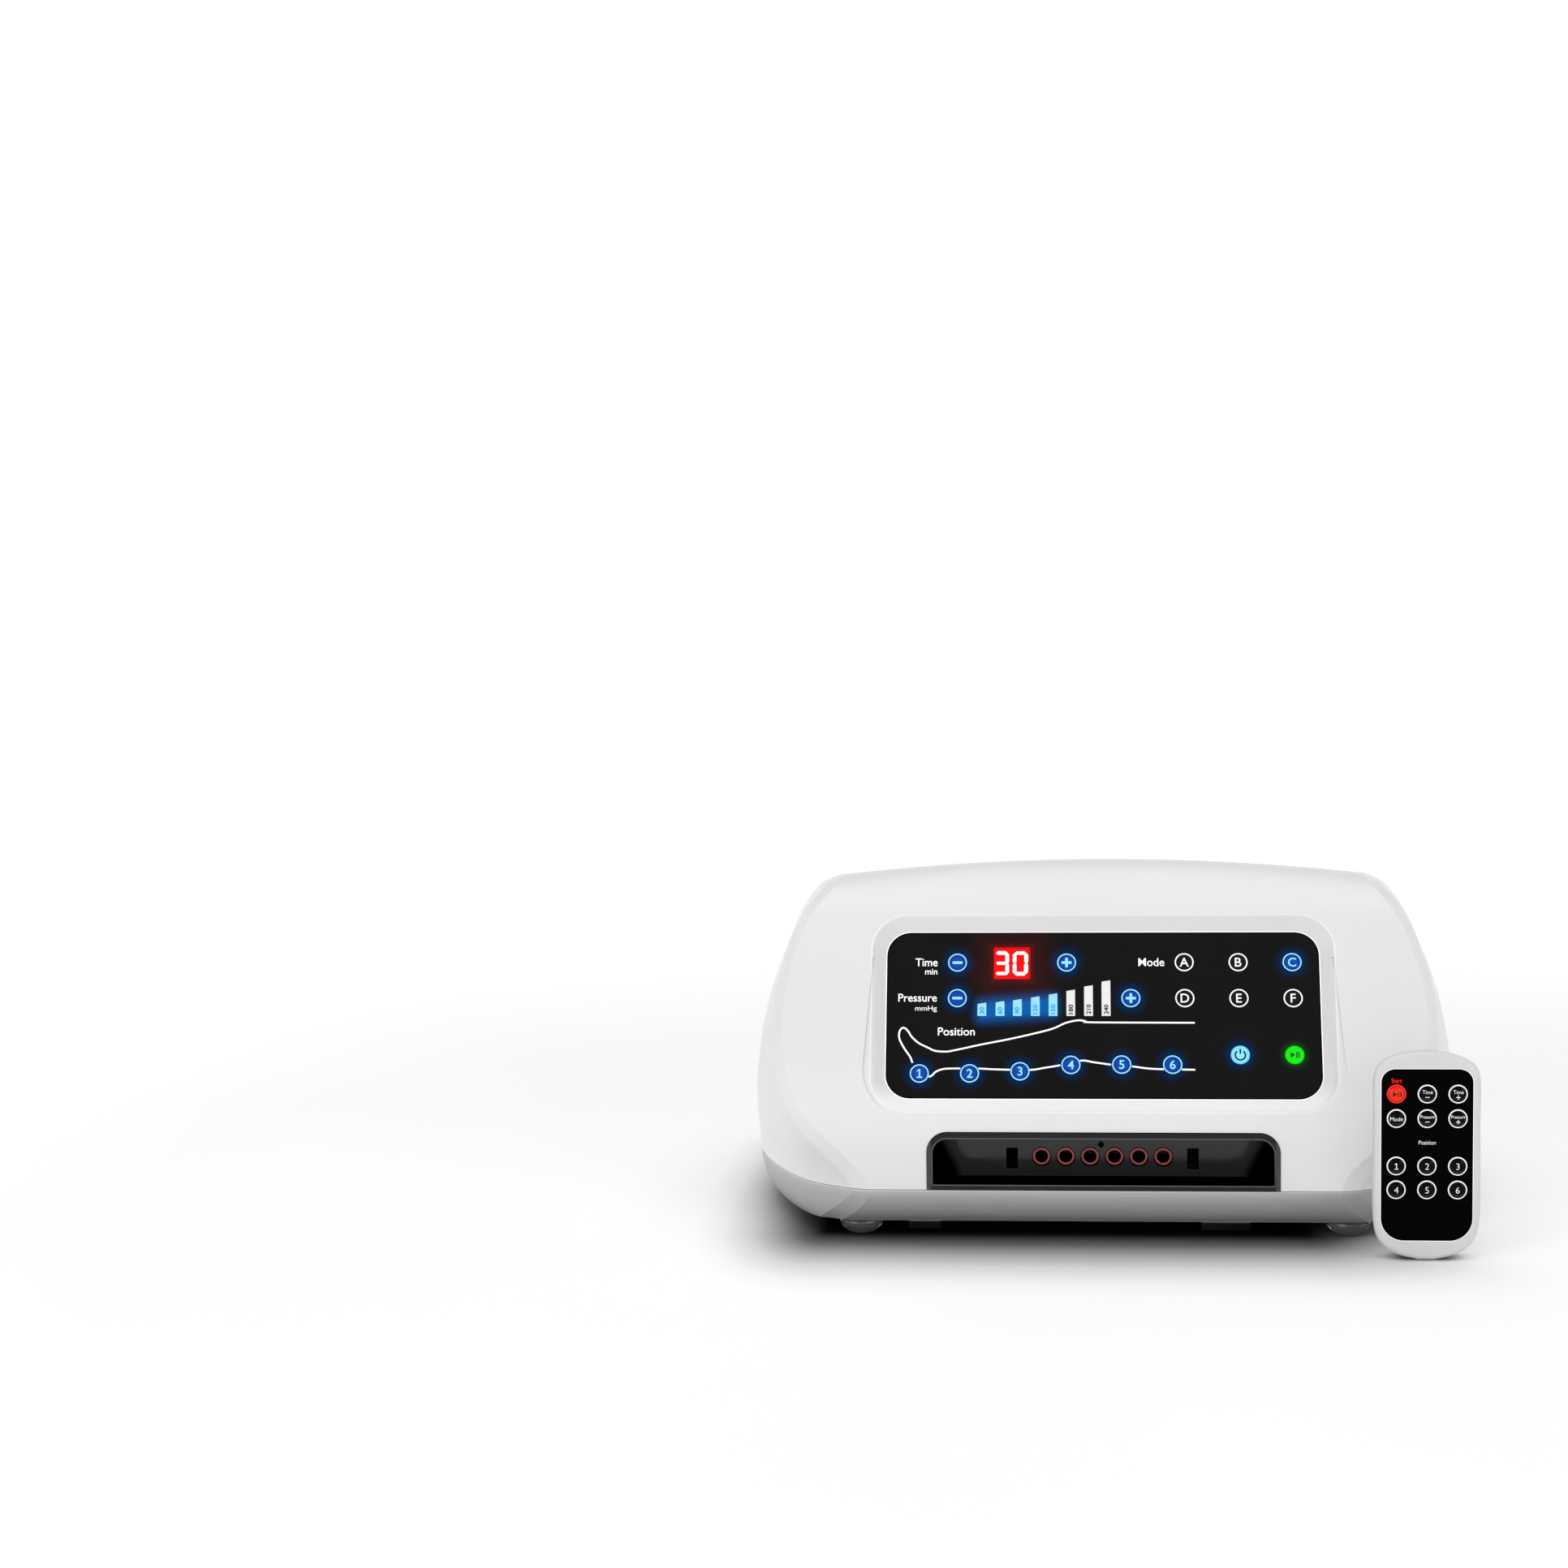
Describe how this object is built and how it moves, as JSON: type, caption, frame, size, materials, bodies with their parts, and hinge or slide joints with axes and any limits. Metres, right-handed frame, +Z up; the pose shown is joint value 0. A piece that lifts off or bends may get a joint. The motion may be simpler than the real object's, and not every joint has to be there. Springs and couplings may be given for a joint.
{
  "type": "compression therapy pump",
  "caption": "Table-top air compression pump with a tilted key panel, a front socket bay for the hose plug, domed feet and a button remote standing beside it.",
  "frame": {"origin": "bottom centre of the set, pump and remote together, on the surface they stand on", "axes": "+X to the user's right, -Y out of the front face, +Z up"},
  "size_m": [0.347, 0.2551, 0.1717],
  "materials": {
    "shell_white": "satin",
    "base_grey": "fine texture",
    "panel_black": "polished",
    "key_black": "polished",
    "bay_black": "polished",
    "port_black": "satin",
    "port_ring": "satin",
    "red_lens": "translucent",
    "bar_lens": "translucent",
    "foot_clear": "clear",
    "board_green": "solder mask",
    "switch_black": "moulded",
    "zinc_steel": "zinc plated",
    "valve_grey": "moulded",
    "acetal": "moulded",
    "hose": "silicone",
    "alloy": "cast",
    "coil": "enamelled winding",
    "rubber_black": "moulded",
    "remote_white": "satin",
    "remote_black": "polished",
    "button_black": "polished dome",
    "button_red": "polished dome",
    "cell": "nickel"
  },
  "bodies": {
    "console": {"upper_housing": "shell_white", "base_tray": "base_grey", "feet": "foot_clear", "housing_screws": "zinc_steel", "panel_window": "panel_black", "key_switches": "switch_black", "time_display": "red_lens", "pressure_bars": "bar_lens", "control_board": "board_green", "socket_bay": "bay_black", "port_plate": "port_black", "air_sockets": "port_ring", "valve_body": "valve_grey", "valve_motor": "zinc_steel", "air_hoses": "hose", "compressor_case": "alloy", "compressor_coils": "coil", "compressor_mounts": "rubber_black", "power_board": "board_green", "rear_plate": "bay_black", "mains_inlet": "switch_black"},
    "key_time_down": {"key_time_down": "key_black"},
    "key_time_up": {"key_time_up": "key_black"},
    "key_pressure_down": {"key_pressure_down": "key_black"},
    "key_pressure_up": {"key_pressure_up": "key_black"},
    "key_mode_a": {"key_mode_a": "key_black"},
    "key_mode_b": {"key_mode_b": "key_black"},
    "key_mode_c": {"key_mode_c": "key_black"},
    "key_mode_d": {"key_mode_d": "key_black"},
    "key_mode_e": {"key_mode_e": "key_black"},
    "key_mode_f": {"key_mode_f": "key_black"},
    "key_chamber_1": {"key_chamber_1": "key_black"},
    "key_chamber_2": {"key_chamber_2": "key_black"},
    "key_chamber_3": {"key_chamber_3": "key_black"},
    "key_chamber_4": {"key_chamber_4": "key_black"},
    "key_chamber_5": {"key_chamber_5": "key_black"},
    "key_chamber_6": {"key_chamber_6": "key_black"},
    "key_power": {"key_power": "key_black"},
    "key_start_pause": {"key_start_pause": "key_black"},
    "valve_rotor": {"valve_rotor": "acetal"},
    "compressor_armature": {"compressor_armature": "zinc_steel", "compressor_diaphragms": "rubber_black"},
    "remote": {"remote_front": "remote_white", "remote_overlay": "remote_black", "remote_board": "board_green", "remote_back": "remote_white", "remote_battery": "cell"},
    "remote_start_pause": {"remote_start_pause": "button_red"},
    "remote_time_down": {"remote_time_down": "button_black"},
    "remote_time_up": {"remote_time_up": "button_black"},
    "remote_mode": {"remote_mode": "button_black"},
    "remote_pressure_down": {"remote_pressure_down": "button_black"},
    "remote_pressure_up": {"remote_pressure_up": "button_black"},
    "remote_chamber_1": {"remote_chamber_1": "button_black"},
    "remote_chamber_2": {"remote_chamber_2": "button_black"},
    "remote_chamber_3": {"remote_chamber_3": "button_black"},
    "remote_chamber_4": {"remote_chamber_4": "button_black"},
    "remote_chamber_5": {"remote_chamber_5": "button_black"},
    "remote_chamber_6": {"remote_chamber_6": "button_black"},
    "remote_battery_cover": {"remote_battery_cover": "remote_white"}
  },
  "joints": [
    {"name": "key_time_down_press", "type": "slide", "parent": "console", "child": "key_time_down", "axis": [0, 0.891, -0.454], "range_m": [0, 0.0005], "stiffness_N_per_m": 600},
    {"name": "key_time_up_press", "type": "slide", "parent": "console", "child": "key_time_up", "axis": [0, 0.891, -0.454], "range_m": [0, 0.0005], "stiffness_N_per_m": 600},
    {"name": "key_pressure_down_press", "type": "slide", "parent": "console", "child": "key_pressure_down", "axis": [0, 0.891, -0.454], "range_m": [0, 0.0005], "stiffness_N_per_m": 600},
    {"name": "key_pressure_up_press", "type": "slide", "parent": "console", "child": "key_pressure_up", "axis": [0, 0.891, -0.454], "range_m": [0, 0.0005], "stiffness_N_per_m": 600},
    {"name": "key_mode_a_press", "type": "slide", "parent": "console", "child": "key_mode_a", "axis": [0, 0.891, -0.454], "range_m": [0, 0.0005], "stiffness_N_per_m": 600},
    {"name": "key_mode_b_press", "type": "slide", "parent": "console", "child": "key_mode_b", "axis": [0, 0.891, -0.454], "range_m": [0, 0.0005], "stiffness_N_per_m": 600},
    {"name": "key_mode_c_press", "type": "slide", "parent": "console", "child": "key_mode_c", "axis": [0, 0.891, -0.454], "range_m": [0, 0.0005], "stiffness_N_per_m": 600},
    {"name": "key_mode_d_press", "type": "slide", "parent": "console", "child": "key_mode_d", "axis": [0, 0.891, -0.454], "range_m": [0, 0.0005], "stiffness_N_per_m": 600},
    {"name": "key_mode_e_press", "type": "slide", "parent": "console", "child": "key_mode_e", "axis": [0, 0.891, -0.454], "range_m": [0, 0.0005], "stiffness_N_per_m": 600},
    {"name": "key_mode_f_press", "type": "slide", "parent": "console", "child": "key_mode_f", "axis": [0, 0.891, -0.454], "range_m": [0, 0.0005], "stiffness_N_per_m": 600},
    {"name": "key_chamber_1_press", "type": "slide", "parent": "console", "child": "key_chamber_1", "axis": [0, 0.891, -0.454], "range_m": [0, 0.0005], "stiffness_N_per_m": 600},
    {"name": "key_chamber_2_press", "type": "slide", "parent": "console", "child": "key_chamber_2", "axis": [0, 0.891, -0.454], "range_m": [0, 0.0005], "stiffness_N_per_m": 600},
    {"name": "key_chamber_3_press", "type": "slide", "parent": "console", "child": "key_chamber_3", "axis": [0, 0.891, -0.454], "range_m": [0, 0.0005], "stiffness_N_per_m": 600},
    {"name": "key_chamber_4_press", "type": "slide", "parent": "console", "child": "key_chamber_4", "axis": [0, 0.891, -0.454], "range_m": [0, 0.0005], "stiffness_N_per_m": 600},
    {"name": "key_chamber_5_press", "type": "slide", "parent": "console", "child": "key_chamber_5", "axis": [0, 0.891, -0.454], "range_m": [0, 0.0005], "stiffness_N_per_m": 600},
    {"name": "key_chamber_6_press", "type": "slide", "parent": "console", "child": "key_chamber_6", "axis": [0, 0.891, -0.454], "range_m": [0, 0.0005], "stiffness_N_per_m": 600},
    {"name": "key_power_press", "type": "slide", "parent": "console", "child": "key_power", "axis": [0, 0.891, -0.454], "range_m": [0, 0.0005], "stiffness_N_per_m": 600},
    {"name": "key_start_pause_press", "type": "slide", "parent": "console", "child": "key_start_pause", "axis": [0, 0.891, -0.454], "range_m": [0, 0.0005], "stiffness_N_per_m": 600},
    {"name": "valve_turn", "type": "hinge", "parent": "console", "child": "valve_rotor", "pos_m": [0, -0.00945, 0.0474], "axis": [0, 0, 1], "continuous": true},
    {"name": "armature_stroke", "type": "slide", "parent": "console", "child": "compressor_armature", "axis": [1, 0, 0], "range_m": [-0.002, 0.002], "stiffness_N_per_m": 3000},
    {"name": "remote_lift", "type": "slide", "parent": "console", "child": "remote", "axis": [0, 0, 1], "range_m": [0, 0.15]},
    {"name": "remote_start_pause_press", "type": "slide", "parent": "remote", "child": "remote_start_pause", "axis": [0, 1, 0], "range_m": [0, 0.0007], "stiffness_N_per_m": 600},
    {"name": "remote_time_down_press", "type": "slide", "parent": "remote", "child": "remote_time_down", "axis": [0, 1, 0], "range_m": [0, 0.0007], "stiffness_N_per_m": 600},
    {"name": "remote_time_up_press", "type": "slide", "parent": "remote", "child": "remote_time_up", "axis": [0, 1, 0], "range_m": [0, 0.0007], "stiffness_N_per_m": 600},
    {"name": "remote_mode_press", "type": "slide", "parent": "remote", "child": "remote_mode", "axis": [0, 1, 0], "range_m": [0, 0.0007], "stiffness_N_per_m": 600},
    {"name": "remote_pressure_down_press", "type": "slide", "parent": "remote", "child": "remote_pressure_down", "axis": [0, 1, 0], "range_m": [0, 0.0007], "stiffness_N_per_m": 600},
    {"name": "remote_pressure_up_press", "type": "slide", "parent": "remote", "child": "remote_pressure_up", "axis": [0, 1, 0], "range_m": [0, 0.0007], "stiffness_N_per_m": 600},
    {"name": "remote_chamber_1_press", "type": "slide", "parent": "remote", "child": "remote_chamber_1", "axis": [0, 1, 0], "range_m": [0, 0.0007], "stiffness_N_per_m": 600},
    {"name": "remote_chamber_2_press", "type": "slide", "parent": "remote", "child": "remote_chamber_2", "axis": [0, 1, 0], "range_m": [0, 0.0007], "stiffness_N_per_m": 600},
    {"name": "remote_chamber_3_press", "type": "slide", "parent": "remote", "child": "remote_chamber_3", "axis": [0, 1, 0], "range_m": [0, 0.0007], "stiffness_N_per_m": 600},
    {"name": "remote_chamber_4_press", "type": "slide", "parent": "remote", "child": "remote_chamber_4", "axis": [0, 1, 0], "range_m": [0, 0.0007], "stiffness_N_per_m": 600},
    {"name": "remote_chamber_5_press", "type": "slide", "parent": "remote", "child": "remote_chamber_5", "axis": [0, 1, 0], "range_m": [0, 0.0007], "stiffness_N_per_m": 600},
    {"name": "remote_chamber_6_press", "type": "slide", "parent": "remote", "child": "remote_chamber_6", "axis": [0, 1, 0], "range_m": [0, 0.0007], "stiffness_N_per_m": 600},
    {"name": "battery_cover_off", "type": "slide", "parent": "remote", "child": "remote_battery_cover", "axis": [0, 1, 0], "range_m": [0, 0.012]}
  ]
}
